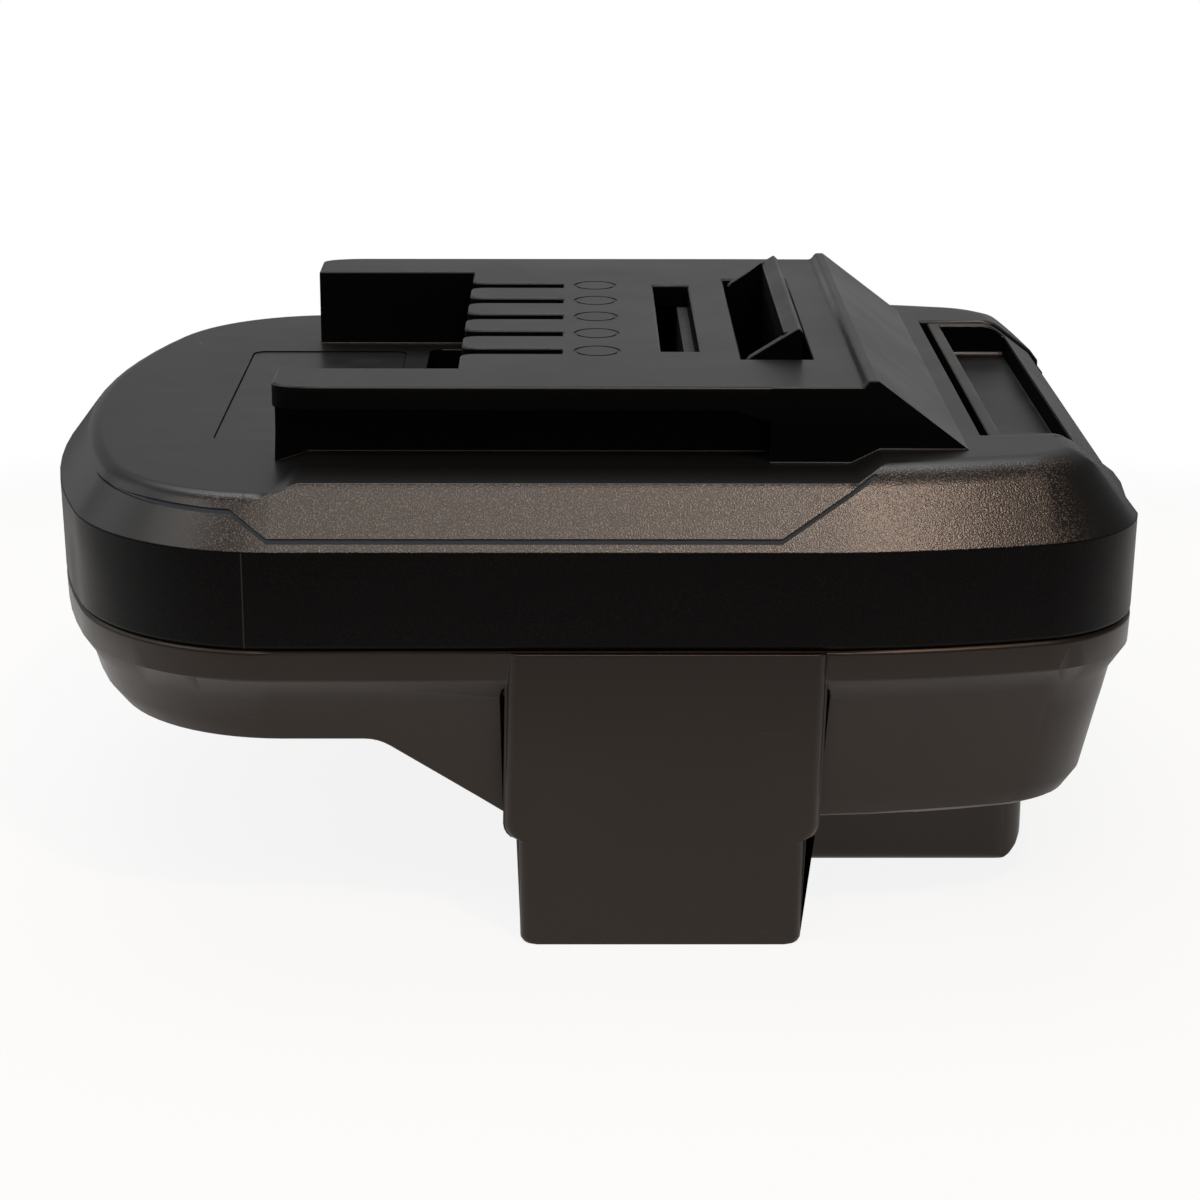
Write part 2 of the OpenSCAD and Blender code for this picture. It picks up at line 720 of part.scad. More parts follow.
module contact_slot(y) {
    mouth_l = 1.5 * slot_flare;
    side = [for (a = [0:30:90])
        [front_wall_x + mouth_l * (1 - cos(a)), slot_w / 2 + slot_flare * (1 - sin(a))]];
    half = concat([[front_wall_x - eps, slot_w / 2 + slot_flare]], side, [[slot_end_x, slot_w / 2]]);
    translate([0, y, entry_deck_z + 0.6])
        linear_extrude(rail_top_z - entry_deck_z)
            polygon(concat(half, [for (i = [len(half) - 1:-1:0]) [half[i].x, -half[i].y]]));
}

// Room inside the upper housing for the contacts and the latch
module upper_room() {
    outline_body(upper_room_section);
    across(rail_room_w)
        polygon([
            [front_room_x, cavity_z - eps], [front_room_x, roof_z], [ridge_x - 1, roof_z],
            [slope_end_x - 2.8, button_roof_z], [slope_end_x - 2.8, cavity_z - eps]
        ]);
    mid_box(slope_end_x - 3, flange_end_x + room_clear, flange_w + 2 * room_clear,
        apron_room_z, button_roof_z);
}

module screw_boss(z0, z1, hole_r, hole_z) {
    difference() {
        translate([0, 0, z0]) cylinder(r = column_r - 0.3, h = z1 - z0);
        translate([0, 0, z0 - eps]) cylinder(r = hole_r, h = hole_z - z0 + eps);
    }
}

module upper_housing() {
    color([0.13, 0.13, 0.13])
    union() {
        difference() {
            union() {
                upper_form();
                rail_block();
            }
            upper_room();
            both_sides() side_groove();
            mid_box(arm_tip_x - eps, front_wall_x, arm_gap_w, entry_deck_z, rail_top_z + eps);
            for (i = [0:slot_n - 1]) contact_slot((i - (slot_n - 1) / 2) * slot_pitch);
            rounded_plate(front_wall_x - floor_gap_l / 2 + floor_gap_r / 2, floor_gap_l + floor_gap_r,
                floor_gap_w, floor_gap_r, cavity_z - eps, entry_deck_z + eps);
            mid_box(key_slot_x, key_slot_x + key_slot_l, key_slot_w, roof_z - eps, rail_top_z + eps);
            mid_box(window_x, window_x + window_l, window_w, roof_z - eps, rail_top_z + eps);
            mid_box(button_x, cap_end_x + room_clear, button_w, apron_room_z, button_deck_z + eps);
            mid_box(cap_end_x, end_x + eps, button_w, notch_z, button_deck_z + eps);
            mid_box(mouth_x, end_x + eps, button_w + 2 * mouth_out, notch_z, button_deck_z + eps);
            rounded_plate(label_x, label_l, label_w, label_r, entry_deck_z - label_d, entry_deck_z + eps);
            for (i = [0:slot_n - 1])
                translate([ring_x, (i - (slot_n - 1) / 2) * slot_pitch, rail_top_z - ring_d])
                    difference() {
                        cylinder(r = ring_r, h = ring_d + eps);
                        translate([0, 0, -eps]) cylinder(r = ring_r - ring_w, h = ring_d + 3 * eps);
                    }
        }
        for (p = screw_places)
            translate([p.x, p.y, 0])
                screw_boss(seam_z, cavity_z + eps, screw_r + pin_clear, seam_z + screw_l - screw_grip + 1);
        for (p = holder_places)
            translate([p.x, p.y, 0])
                difference() {
                    translate([0, 0, holder_z]) cylinder(r = holder_boss_r, h = roof_z + eps - holder_z);
                    translate([0, 0, holder_z - eps])
                        cylinder(r = holder_screw_r + pin_clear, h = holder_screw_l - holder_t + 1 + eps);
                }
    }
}

// Space under the ramp and the shallow underside, with a fillet where the ramp starts
module under_ramp(lift) {
    corner = [ramp_x + lift * 0.3, shallow_z + lift];
    foot = [ramp_end_x + lift * 0.3, deep_z + lift];
    a = corner - [ramp_fillet, 0];
    b = corner + ramp_fillet * (foot - corner) / norm(foot - corner);
    across(body_w + 2 * eps)
        polygon(concat(
            [[entry_x - eps, deep_z - eps], [entry_x - eps, shallow_z + lift]],
            [for (s = [0:0.25:1]) (1 - s) * (1 - s) * a + 2 * s * (1 - s) * corner + s * s * b],
            [foot, [foot.x, deep_z - eps]]
        ));
}

// Outlines of an ear about its middle, seen from the side: above and below its shoulders
function mirror_line(half) = concat(half, [for (i = [len(half) - 1:-1:0]) [-half[i].x, half[i].y]]);
ear_top_z = seam_z - ear_gap;
ear_shoulder_c = [ear_mid_w / 2 - ear_shoulder_r, ear_shoulder_z + ear_shoulder_r];
ear_upper = concat(
    [[ear_lean + ear_top_w / 2, ear_top_z]],
    mirror_line(round_corner(ear_shoulder_c, ear_shoulder_r, 0, -90, 5)),
    [[ear_lean - ear_top_w / 2, ear_top_z]]
);
ear_lower = mirror_line(concat(
    [[ear_low_w / 2 + 0.1, ear_shoulder_c.y]],
    round_corner([ear_low_w / 2 - 0.1 - ear_corner_r, ear_corner_r], ear_corner_r, 0, -90)
));

// The block of an ear, and its outer face with round upright edges, a hair smaller than the block
module ear() {
    rounds = [for (a = [0:30:90]) [ear_edge_r * (1 - sin(a)), ear_edge_r * (1 - cos(a))]];
    translate([ear_x, ear_y - ear_edge_r, 0])
        rotate([90, 0, 0])
            linear_extrude(ear_t - ear_edge_r)
                union() {
                    polygon(ear_upper);
                    polygon(ear_lower);
                }
    for (line = [ear_upper, ear_lower])
        loft([for (q = concat([[ear_edge_r + eps, 0]], rounds))
            [for (p = line)
                let (z = min(max(p.y, ear_hair), ear_top_z - ear_hair))
                [ear_x + p.x - sign(p.x) * (q[1] + ear_hair), ear_y - q[0], z]]]);
}

// Narrow relief in the wall along both upright edges of one ear
module ear_relief() {
    foot_z = ear_shoulder_z + ear_shoulder_r;
    difference() {
        for (side = [-1, 1])
            translate([ear_x, ear_y, 0])
                rotate([90, 0, 0])
                    linear_extrude(ear_t)
                        polygon([
                            [side * (ear_mid_w / 2 - 0.6), foot_z],
                            [side * (ear_mid_w / 2 + relief_w * 0.2), foot_z],
                            [side * ear_top_w / 2 + ear_lean * 0.7 + side * relief_w, step_z + 0.3],
                            [side * ear_top_w / 2 + ear_lean * 0.7 + side * relief_w * 0.6, step_z + 1.2],
                            [side * (ear_top_w / 2 - 0.6), rim_z]
                        ]);
        outline_body(relief_section);
    }
}

// Pocket for the pack's squeeze latch, with the catch that the latch hooks on to
module ear_pocket() {
    difference() {
        box(ear_x - pocket_w / 2, ear_x + pocket_w / 2, pocket_in_y - eps, pocket_y, -eps, ear_pocket_h);
        along(ear_x - pocket_w / 2 - eps, ear_x + pocket_w / 2 + eps)
            polygon([
                [pocket_y + eps, catch_z - catch_d], [pocket_y, catch_z - catch_d],
                [pocket_y - catch_d, catch_z], [pocket_y - catch_d, catch_z + catch_d],
                [pocket_y + eps, catch_z + catch_d]
            ]);
    }
}

// Walls of the pocket inside the housing
module ear_pocket_wall() {
    box(ear_x - pocket_w / 2 - ear_wall, ear_x + pocket_w / 2 + ear_wall,
        pocket_in_y - 2, pocket_y, deep_z, ear_pocket_h + 2);
}

// A profile that stands on zero, as wide as w, with round lower corners
module round_foot(w, h, r) {
    polygon(concat(
        [[-w / 2, h], [w / 2, h]],
        round_corner([w / 2 - r, r], r, 0, -90, 5),
        round_corner([-w / 2 + r, r], r, -90, -180, 5)
    ));
}

// The socket's walls, its collar under the housing and its roof
module socket_tower() {
    collar_z = deep_z + wall / 2;
    rounded_plate(socket_x, tower_l, tower_w, collar_r, collar_z - eps, socket_roof_z);
    intersection() {
        rounded_plate(socket_x, tower_l, collar_w, collar_r, 0, collar_z);
        across(collar_w + 2 * eps) translate([socket_x, 0]) round_foot(tower_l, collar_z, collar_foot_r);
        along(socket_x - tower_l / 2 - eps, socket_x + tower_l / 2 + eps)
            round_foot(collar_w, collar_z, collar_side_r);
    }
}

module screw_column(z0) {
    translate([0, 0, z0]) cylinder(r = column_r, h = seam_z - z0);
}

module screw_way(z0) {
    translate([0, 0, z0 - eps]) cylinder(r = screw_r + 0.2, h = seam_z - z0 + 2 * eps);
    translate([0, 0, z0 - eps]) cylinder(r = screw_head_r + 0.3, h = screw_seat_z - z0 + eps);
}

module lower_shell() {
    difference() {
        outline_body(lower_section);
        under_ramp(0);
        both_sides() ear_relief();
        difference() {
            outline_body(lower_room_section);
            under_ramp(wall);
        }
    }
}

module spring_post() {
    translate([0, 0, deep_z + 1]) cylinder(r = spring_post_r, h = spring_foot_z - deep_z - 1);
    translate([0, 0, spring_foot_z]) cylinder(r = spring_pin_r, h = spring_pin_l);
}

function column_foot(p) = p.x < ramp_x ? shallow_z : deep_z;

module lower_housing() {
    color([0.2, 0.18, 0.17])
    difference() {
        union() {
            lower_shell();
            both_sides() ear();
            both_sides() ear_pocket_wall();
            socket_tower();
            both_sides() translate([spring_x, spring_y, 0]) spring_post();
            for (p = screw_places) translate([p.x, p.y, 0]) screw_column(column_foot(p));
        }
        mid_box(socket_end_x, socket_end_x + socket_l, socket_w, -eps, socket_depth);
        both_sides() ear_pocket();
        for (p = screw_places) translate([p.x, p.y, 0]) screw_way(column_foot(p));
        both_sides()
            box(leaf_x - leaf_w / 2 - sheet_clear, leaf_x + leaf_w / 2 + sheet_clear,
                leaf_y - sheet_t - sheet_clear, leaf_y + sheet_clear,
                socket_depth - eps, socket_roof_z + eps);
        box(signal_leaf_x - sheet_clear, signal_leaf_x + sheet_t + sheet_clear,
            signal_leaf_y - signal_leaf_w / 2 - sheet_clear, signal_leaf_y + signal_leaf_w / 2 + sheet_clear,
            socket_depth - eps, socket_roof_z + eps);
        for (p = rivet_places)
            translate([p.x, p.y, socket_depth - eps])
                cylinder(r = rivet_r + pin_clear, h = socket_roof_t + 2 * eps);
    }
}

// The button cap follows the fall of the deck, a little below it, and ends in an apron in the notch
module cap_form() {
    r = cap_edge_r;
    edge_z = fall_z(cap_end_x + button_lead) - r * tan((90 - fall_a) / 2);
    top = fall_line(cap_end_x);
    across(cap_w)
        translate([0, -cap_inset])
            polygon(concat(
                [[cap_x, latch_z + cap_inset], [cap_x, button_deck_z]],
                [for (i = [0:len(top) - 2]) top[i] - [button_lead, 0]],
                round_corner([cap_end_x - r, edge_z], r, 90 - fall_a, 0),
                [[cap_end_x, apron_z], [cap_end_x - apron_t, apron_z]],
                [[cap_end_x - apron_t, latch_z + cap_inset]]
            ));
}

// Finger dish with round ends, sunk into the cap
module finger_dish() {
    x0 = cap_x + dish_rim;
    x1 = cap_end_x - dish_end_rim;
    half = cap_w / 2 - dish_rim;
    dish_z = button_deck_z - dish_d;
    along(x0, x1)
        polygon(concat(
            [[half, button_deck_z + eps], [-half, button_deck_z + eps]],
            round_corner([-half + dish_r, dish_z + dish_r], dish_r, 180, 270),
            round_corner([half - dish_r, dish_z + dish_r], dish_r, 270, 360)
        ));
}

// Hook: two ribs and a cross bar under one ramp
module hook() {
    edge = 0.4;
    foot_x = hook_x + edge;
    top_x = hook_end_x - edge;
    bar_x = hook_end_x - hook_bar_t;
    bar_z = rail_top_z + hook_h * (bar_x - foot_x) / (top_x - foot_x);
    across(hook_w)
        polygon([
            [bar_x, latch_z], [bar_x, bar_z], [top_x, hook_top_z], [hook_end_x, hook_top_z - edge],
            [hook_end_x, latch_z]
        ]);
    both_sides()
        translate([0, hook_w / 2, 0])
            rotate([90, 0, 0])
                linear_extrude(hook_rib_t)
                    polygon([
                        [hook_x, latch_z], [hook_x, rail_top_z - edge], [foot_x, rail_top_z],
                        [bar_x + eps, bar_z + eps * hook_h / (top_x - foot_x)], [bar_x + eps, latch_z]
                    ]);
}

module release_latch() {
    color([0.14, 0.14, 0.14])
    union() {
        difference() {
            union() {
                cap_form();
                mid_box(flange_x, flange_end_x, flange_w, latch_z, flange_z);
            }
            finger_dish();
        }
        mid_box(hook_x, hook_end_x, hook_w, latch_z, flange_z);
        mid_box(hook_end_x - eps, flange_x + eps, tongue_w, latch_z, flange_z);
        hook();
        both_sides()
            translate([spring_x, spring_y, latch_z - spring_pin_l])
                cylinder(r = spring_pin_r, h = spring_pin_l + eps);
    }
}

// One unbroken tube of the given radius along a list of points
function unit(v) = v / norm(v);
function tangent(pts, i) =
    unit(pts[min(i + 1, len(pts) - 1)] - pts[max(i - 1, 0)]);
function across_dir(t, up) = unit(cross(up, t));
function ring(c, t, up, r, n) =
    let (u = across_dir(t, up), v = cross(t, u))
    [for (k = [0:n - 1]) c + r * (cos(360 * k / n) * u + sin(360 * k / n) * v)];

module tube(pts, r, n, up) {
    rings = len(pts);
    points = [for (i = [0:rings - 1]) each ring(pts[i], tangent(pts, i), up, r, n)];
    walls = [for (i = [0:rings - 2], k = [0:n - 1])
        let (a = i * n + k, b = i * n + (k + 1) % n)
        each [[a, a + n, b], [b, a + n, b + n]]];
    caps = [for (k = [1:n - 2]) each [
        [0, k, k + 1],
        [(rings - 1) * n, (rings - 1) * n + k + 1, (rings - 1) * n + k]
    ]];
    polyhedron(points, concat(walls, caps));
}

// Middle line of a spring: the end curls are drawn closer together
spring_rings = 8;
spring_rise = spring_l - 2 * spring_gap - spring_wire;
function curl_share(s) = s - sin(360 * s) / (2 * PI) * 0.3;
spring_pts = [for (i = [0:spring_curls * spring_rings])
    let (a = 360 * i / spring_rings, s = i / (spring_curls * spring_rings))
    [spring_d / 2 * cos(a), spring_d / 2 * sin(a),
     spring_foot_z + spring_gap + spring_wire / 2 + spring_rise * curl_share(s)]];
spring_self_gap = min([for (i = [0:len(spring_pts) - 1 - spring_rings])
    norm(spring_pts[i + spring_rings] - spring_pts[i]) - spring_wire]);
echo(spring_self_gap = spring_self_gap);

module latch_spring(y) {
    color([0.7, 0.7, 0.72])
        translate([spring_x, y, 0]) tube(spring_pts, spring_wire / 2, 6, [0, 0, 1]);
}

module latch_spring_left() {
    latch_spring(spring_y);
}

module latch_spring_right() {
    latch_spring(-spring_y);
}

module contact_holder() {
    x0 = front_room_x + holder_clear;
    x1 = key_slot_x + key_slot_l;
    w = rail_room_w - 2 * holder_clear;
    color([0.25, 0.25, 0.26])
    difference() {
        union() {
            mid_box(x0, x1, w, holder_z - holder_t, holder_z);
            mid_box(x1 - rib_t - pin_clear, x1 - pin_clear, key_slot_w - 2,
                holder_z - holder_t, roof_z + 0.2);
            for (i = [0:slot_n - 2])
                translate([0, (i - (slot_n - 2) / 2) * slot_pitch, 0])
                    mid_box(x0, slot_end_x, 1.2, holder_z - holder_t, holder_z + 3.4);
        }
        for (y = [-power_y, 0, power_y])
            translate([0, y, 0])
                mid_box(clip_end_x - sheet_t - sheet_clear, clip_end_x + sheet_clear,
                    clip_w + 2 * sheet_clear, holder_z - holder_t - eps, holder_z + eps);
        for (p = holder_places)
            translate([p.x, p.y, holder_z - holder_t - eps])
                cylinder(r = holder_screw_r + 0.15, h = holder_t + 2 * eps);
    }
}

// A forked clip that takes a blade of the tool, with a tail for its wire
module rail_clip(y) {
    half = clip_gap / 2;
    pinch = clip_pinch / 2;
    color([0.78, 0.6, 0.3])
    translate([0, y, 0]) {
        both_sides()
            translate([0, 0, holder_z])
                linear_extrude(clip_h)
                    polygon([
                        [clip_end_x, half], [clip_end_x, half + sheet_t],
                        [clip_x + clip_tip_l, half + sheet_t], [clip_x + clip_lead_l, pinch + sheet_t],
                        [clip_x, pinch + clip_lead_w + sheet_t], [clip_x, pinch + clip_lead_w],
                        [clip_x + clip_lead_l, pinch], [clip_x + clip_tip_l, half]
                    ]);
        mid_box(clip_end_x - sheet_t, clip_end_x, clip_w, tail_z, holder_z + clip_h);
    }
}

module positive_clip() {
    rail_clip(power_y);
}

module negative_clip() {
    rail_clip(-power_y);
}

module signal_clip() {
    rail_clip(0);
}

// A leaf along a wall: [distance from the wall side, height], its foot on the socket roof,
// its blade bent towards the pack's stem and back
module leaf_strip(w, rivet_x) {
    bend_z = socket_depth - leaf_neck_l;
    tip_z = socket_depth - leaf_l;
    mid_z = (bend_z + tip_z) / 2;
    difference() {
        rotate([90, 0, 90])
            linear_extrude(w, center = true)
                polygon([
                    [leaf_foot_l, socket_roof_z], [leaf_foot_l, leaf_top_z], [-sheet_t, leaf_top_z],
                    [-sheet_t, bend_z], [-leaf_bulge - sheet_t, mid_z], [-leaf_bulge / 3 - sheet_t, tip_z],
                    [-leaf_bulge / 3, tip_z], [-leaf_bulge, mid_z], [0, bend_z], [0, socket_roof_z]
                ]);
        translate([rivet_x, rivet_in, socket_roof_z - eps / 2])
            cylinder(r = rivet_r + pin_clear, h = sheet_t + eps);
    }
}

module positive_leaf() {
    color([0.78, 0.6, 0.3])
        translate([leaf_x, leaf_y, 0]) leaf_strip(leaf_w, rivet_off);
}

module negative_leaf() {
    color([0.78, 0.6, 0.3])
        mirror([0, 1, 0]) translate([leaf_x, leaf_y, 0]) leaf_strip(leaf_w, rivet_off);
}

module signal_leaf() {
    color([0.78, 0.6, 0.3])
        translate([signal_leaf_x, signal_leaf_y, 0])
            rotate([0, 0, 90]) leaf_strip(signal_leaf_w, signal_leaf_w / 4);
}

module positive_wire() {
    color([0.75, 0.1, 0.08]) tube(power_route, power_wire_d / 2, 8, [0.1, 0, 1]);
}

module negative_wire() {
    color([0.08, 0.08, 0.08])
        mirror([0, 1, 0]) tube(power_route, power_wire_d / 2, 8, [0.1, 0, 1]);
}

module signal_wire() {
    color([0.85, 0.85, 0.82]) tube(signal_route, signal_wire_d / 2, 8, [0.1, 0, 1]);
}

// A pan head screw with a cross recess, its head downwards
module screw(r, l, head_r, head_h) {
    difference() {
        union() {
            cylinder(r = r, h = l);
            translate([0, 0, -head_h]) cylinder(r = head_r, h = head_h);
        }
        for (a = [0, 90])
            rotate([0, 0, a])
                translate([-head_r * 0.55, -head_r * 0.12, -head_h - eps])
                    cube([head_r * 1.1, head_r * 0.24, head_h * 0.5 + eps]);
    }
}

module housing_screws() {
    color([0.6, 0.6, 0.62])
        for (p = screw_places)
            translate([p.x, p.y, screw_seat_z]) screw(screw_r, screw_l, screw_head_r, screw_head_h);
}

module holder_screws() {
    color([0.6, 0.6, 0.62])
        for (p = holder_places)
            translate([p.x, p.y, holder_z - holder_t])
                screw(holder_screw_r, holder_screw_l, holder_head_r, holder_head_h);
}

module leaf_rivets() {
    color([0.7, 0.7, 0.72])
        for (p = rivet_places)
            translate([p.x, p.y, 0]) {
                translate([0, 0, socket_depth])
                    cylinder(r = rivet_r, h = leaf_top_z - socket_depth + pin_clear);
                translate([0, 0, leaf_top_z]) cylinder(r = rivet_head_r, h = rivet_head_h);
            }
}

module blank_label() {
    color([0.07, 0.07, 0.08])
        rounded_plate(label_x, label_l - 0.2, label_w - 0.2, label_r - 0.1,
            entry_deck_z - label_d, entry_deck_z - label_d + label_t);
}

upper_housing();
lower_housing();
release_latch();
latch_spring_left();
latch_spring_right();
contact_holder();
positive_clip();
negative_clip();
signal_clip();
positive_leaf();
negative_leaf();
signal_leaf();
positive_wire();
negative_wire();
signal_wire();
housing_screws();
holder_screws();
leaf_rivets();
blank_label();
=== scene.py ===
"""Looks of the tool battery adapter: moulded black housings, sprung latch, contacts and wires."""
import math

import bmesh
import bpy
from mathutils import Matrix, Vector


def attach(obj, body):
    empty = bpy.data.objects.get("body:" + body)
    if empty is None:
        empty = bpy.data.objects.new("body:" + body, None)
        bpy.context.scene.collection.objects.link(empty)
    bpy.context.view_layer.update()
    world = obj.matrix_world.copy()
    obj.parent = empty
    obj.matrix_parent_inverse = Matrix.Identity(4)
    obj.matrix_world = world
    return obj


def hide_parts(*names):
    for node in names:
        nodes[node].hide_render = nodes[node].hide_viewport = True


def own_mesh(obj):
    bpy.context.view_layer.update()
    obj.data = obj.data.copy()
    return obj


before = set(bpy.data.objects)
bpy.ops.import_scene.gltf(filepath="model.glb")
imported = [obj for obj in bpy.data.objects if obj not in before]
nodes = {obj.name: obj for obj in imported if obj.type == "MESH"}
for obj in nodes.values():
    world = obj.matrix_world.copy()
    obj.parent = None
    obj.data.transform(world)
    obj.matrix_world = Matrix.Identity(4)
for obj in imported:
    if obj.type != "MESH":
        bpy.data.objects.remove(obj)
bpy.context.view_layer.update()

MM = 0.001

# Heights and places on the adapter, in metres, as in the part's source
SEAM_Z = 26.3 * MM
BAND_TOP_Z = 34.8 * MM
ENTRY_DECK_Z = 38.9 * MM
ENTRY_DECK_END_X = -27.4 * MM
DECK_Z = 40.9 * MM
CHAMFER_Y = 30.5 * MM
CHAMFER_X = (-33.0 * MM, 33.5 * MM)
RAIL_TOP_Z = 46.3 * MM
RING_X = 0.3 * MM
RING_R = 2.1 * MM
BUTTON_X = 33.4 * MM
BUTTON_HALF_W = 23.8 * MM

# Crease line on the chamfers, as X and Z in millimetres
CREASE = ((-43.0, 37.8), (-36.5, 37.7), (-30.1, 37.6), (-27.0, 35.6), (15.4, 35.6), (23.2, 40.1))
CREASE_HALF_W = 0.34
CREASE_OVERRUN = 0.2
CREASE_FADE_X = -38.0 * MM
LONG_SIDE_Y = 28.0 * MM

# Hairline across the chamfer and the band near the entry end, as X in millimetres
MOULD_LINE_X = -29.05

# Edges that take a rounding are at least this sharp and this long
SHARP = math.radians(38.0)
LONG = 0.4 * MM

# Slots of the upper housing's skins
DECK, UPRIGHT, BAND, LINE, CHAMFER = range(5)

# Light dust on the black plastic
DUST = (0.30, 0.29, 0.27)

# Painted pool of light under the adapter, fading into painted shade on a dark surround: where its
# edge fades, and its stretch along X
FLOOR_R = 6.0
FLOOR_DROP = 0.05 * MM
PAINTED_POOL_EDGE = (0.095, 0.138)
PAINTED_POOL_STRETCH = (0.6, 1.0, 1.0)

# Soft lamps: name, place, size, power and colour
WHITE = (1.0, 1.0, 1.0)
WARM = (1.0, 0.88, 0.78)
LAMP_TARGET = (0.0, 0.0, 0.03)
LAMPS = (
    ("key_above", (-0.10, 0.55, 1.05), (0.9, 0.7), 5.0, WHITE),
    ("front_above", (-0.05, -0.62, 0.98), (0.50, 0.5), 1.9, WARM),
    ("front_wide", (-0.07, -0.64, 1.00), (0.72, 0.6), 1.30, WARM),
    ("corner_glint", (0.315, -0.59, 0.99), (0.09, 0.09), 3.9, (1.0, 0.74, 0.58)),
    ("left_above", (-0.80, -0.28, 0.85), (0.5, 0.5), 2.2, (1.0, 0.94, 0.90)),
    ("left_window", (-0.85, 0.32, 0.52), (0.5, 0.5), 0.7, WHITE),
)

# Camera of the photograph
CAMERA_PLACE = (-1.7 * MM, -268.2 * MM, 102.7 * MM)
CAMERA_TILT = math.radians(17.44)
CAMERA_TURN = math.radians(0.53)
CAMERA_ROLL = math.radians(0.21)
CAMERA_LENS = 87.36
CAMERA_SENSOR = 36.0


# Small helpers for node trees

def new_material(name):
    material = bpy.data.materials.new(name)
    material.use_nodes = True
    tree = material.node_tree
    shader = tree.nodes["Principled BSDF"]
    return material, tree, shader


def node(tree, kind, inputs=None, **settings):
    made = tree.nodes.new(kind)
    for key, value in settings.items():
        setattr(made, key, value)
    for key, value in (inputs or {}).items():
        if isinstance(value, bpy.types.NodeSocket):
            tree.links.new(value, made.inputs[key])
        else:
            made.inputs[key].default_value = value
    return made


def math_node(tree, operation, a, b=0.0):
    return node(tree, "ShaderNodeMath", {0: a, 1: b}, operation=operation).outputs[0]


def ramp_between(tree, value, low, high, to_low=0.0, to_high=1.0):
    made = node(
        tree,
        "ShaderNodeMapRange",
        {"Value": value, "From Min": low, "From Max": high, "To Min": to_low, "To Max": to_high},
        interpolation_type="SMOOTHSTEP",
    )
    return made.outputs["Result"]


def mix_colour(tree, share, a, b):
    made = node(tree, "ShaderNodeMix", data_type="RGBA")
    for key, value in (("Factor", share), ("A", a), ("B", b)):
        socket = next(s for s in made.inputs if s.name == key and s.enabled)
        if isinstance(value, bpy.types.NodeSocket):
            tree.links.new(value, socket)
        else:
            socket.default_value = value if isinstance(value, float) else (*value, 1.0)
    return next(s for s in made.outputs if s.name == "Result" and s.enabled)


def place_mm(tree):
    """The point on the piece in millimetres."""
    place = node(tree, "ShaderNodeTexCoord").outputs["Object"]
    scaled = node(tree, "ShaderNodeVectorMath", {0: place}, operation="SCALE")
    scaled.inputs["Scale"].default_value = 1.0 / MM
    return scaled.outputs[0]


def axes_of(tree, vector):
    parts = node(tree, "ShaderNodeSeparateXYZ", {0: vector})
    return parts.outputs["X"], parts.outputs["Y"], parts.outputs["Z"]


def facing(tree):
    """The direction that the surface faces, as X, Y and Z."""
    return axes_of(tree, node(tree, "ShaderNodeNewGeometry").outputs["Normal"])


def noise(tree, place, scale, detail=2.0):
    inputs = {"Vector": place, "Scale": scale, "Detail": detail}
    return node(tree, "ShaderNodeTexNoise", inputs).outputs["Fac"]


def bump(tree, height, depth):
    return node(tree, "ShaderNodeBump", {"Height": height, "Distance": depth}).outputs["Normal"]


def specks(tree, place, spacing, size, share):
    """Sparse small dots, such as dust: 1 on a dot and 0 elsewhere."""
    cells = node(tree, "ShaderNodeTexVoronoi", {"Vector": place, "Scale": 1.0 / spacing})
    dot = ramp_between(tree, cells.outputs["Distance"], size / spacing, 0.5 * size / spacing)
    pick = node(tree, "ShaderNodeSeparateColor", {0: cells.outputs["Color"]}).outputs[0]
    return math_node(tree, "MULTIPLY", dot, math_node(tree, "LESS_THAN", pick, share))


def rubbing(tree, place, angle, stretch, low, high, share):
    """Faint long streaks from handling: share on a streak and 0 elsewhere."""
    turn = {"Vector": place, "Rotation": (0.0, angle, angle), "Scale": stretch}
    turned = node(tree, "ShaderNodeMapping", turn).outputs[0]
    return ramp_between(tree, noise(tree, turned, 1.1, detail=4.0), low, high, 0.0, share)


def link(tree, shader, **inputs):
    for key, value in inputs.items():
        socket = shader.inputs[key.replace("_", " ")]
        if isinstance(value, bpy.types.NodeSocket):
            tree.links.new(value, socket)
        else:
            socket.default_value = value


# Finishes

def grain_share(tree, place):
    """Where the chamfer's coarse grain is: on the long sides, fading out towards both ends."""
    along = axes_of(tree, place)[0]
    face_x, face_y, _ = facing(tree)
    side = ramp_between(tree, math_node(tree, "ABSOLUTE", face_y), 0.26, 0.40)
    corner = ramp_between(tree, face_x, 0.28, 0.52, 1.0, 0.0)
    entry = ramp_between(tree, along, -35.5, -30.5)
    return math_node(tree, "MULTIPLY", side, math_node(tree, "MULTIPLY", corner, entry))


def mould_line(tree, place, at_x, half_width):
    """A hairline across the moulding at one place along it."""
    off = math_node(tree, "ABSOLUTE", math_node(tree, "SUBTRACT", axes_of(tree, place)[0], at_x))
    return ramp_between(tree, off, half_width, 0.5 * half_width)


def upper_skin():
    """Decks, rail top and slopes of the upper housing: fine matte."""
    material, tree, shader = new_material("upper_skin")
    place = place_mm(tree)
    broad = noise(tree, place, 0.09, detail=2.0)
    fine = noise(tree, place, 9.0, detail=2.0)
    rubbed = rubbing(tree, place, 0.4, (0.2, 1.0, 1.0), 0.62, 0.78, 0.3)
    colour = mix_colour(tree, broad, (0.0050, 0.0050, 0.0051), (0.0072, 0.0072, 0.0074))
    colour = mix_colour(tree, rubbed, colour, (0.016, 0.016, 0.016))
    colour = mix_colour(tree, specks(tree, place, 5.0, 0.15, 0.10), colour, DUST)
    rough = ramp_between(tree, broad, 0.3, 0.7, 0.33, 0.39)
    link(
        tree, shader, Base_Color=colour, Roughness=rough, Normal=bump(tree, fine, 0.004 * MM),
        Specular_IOR_Level=0.5,
    )
    return material


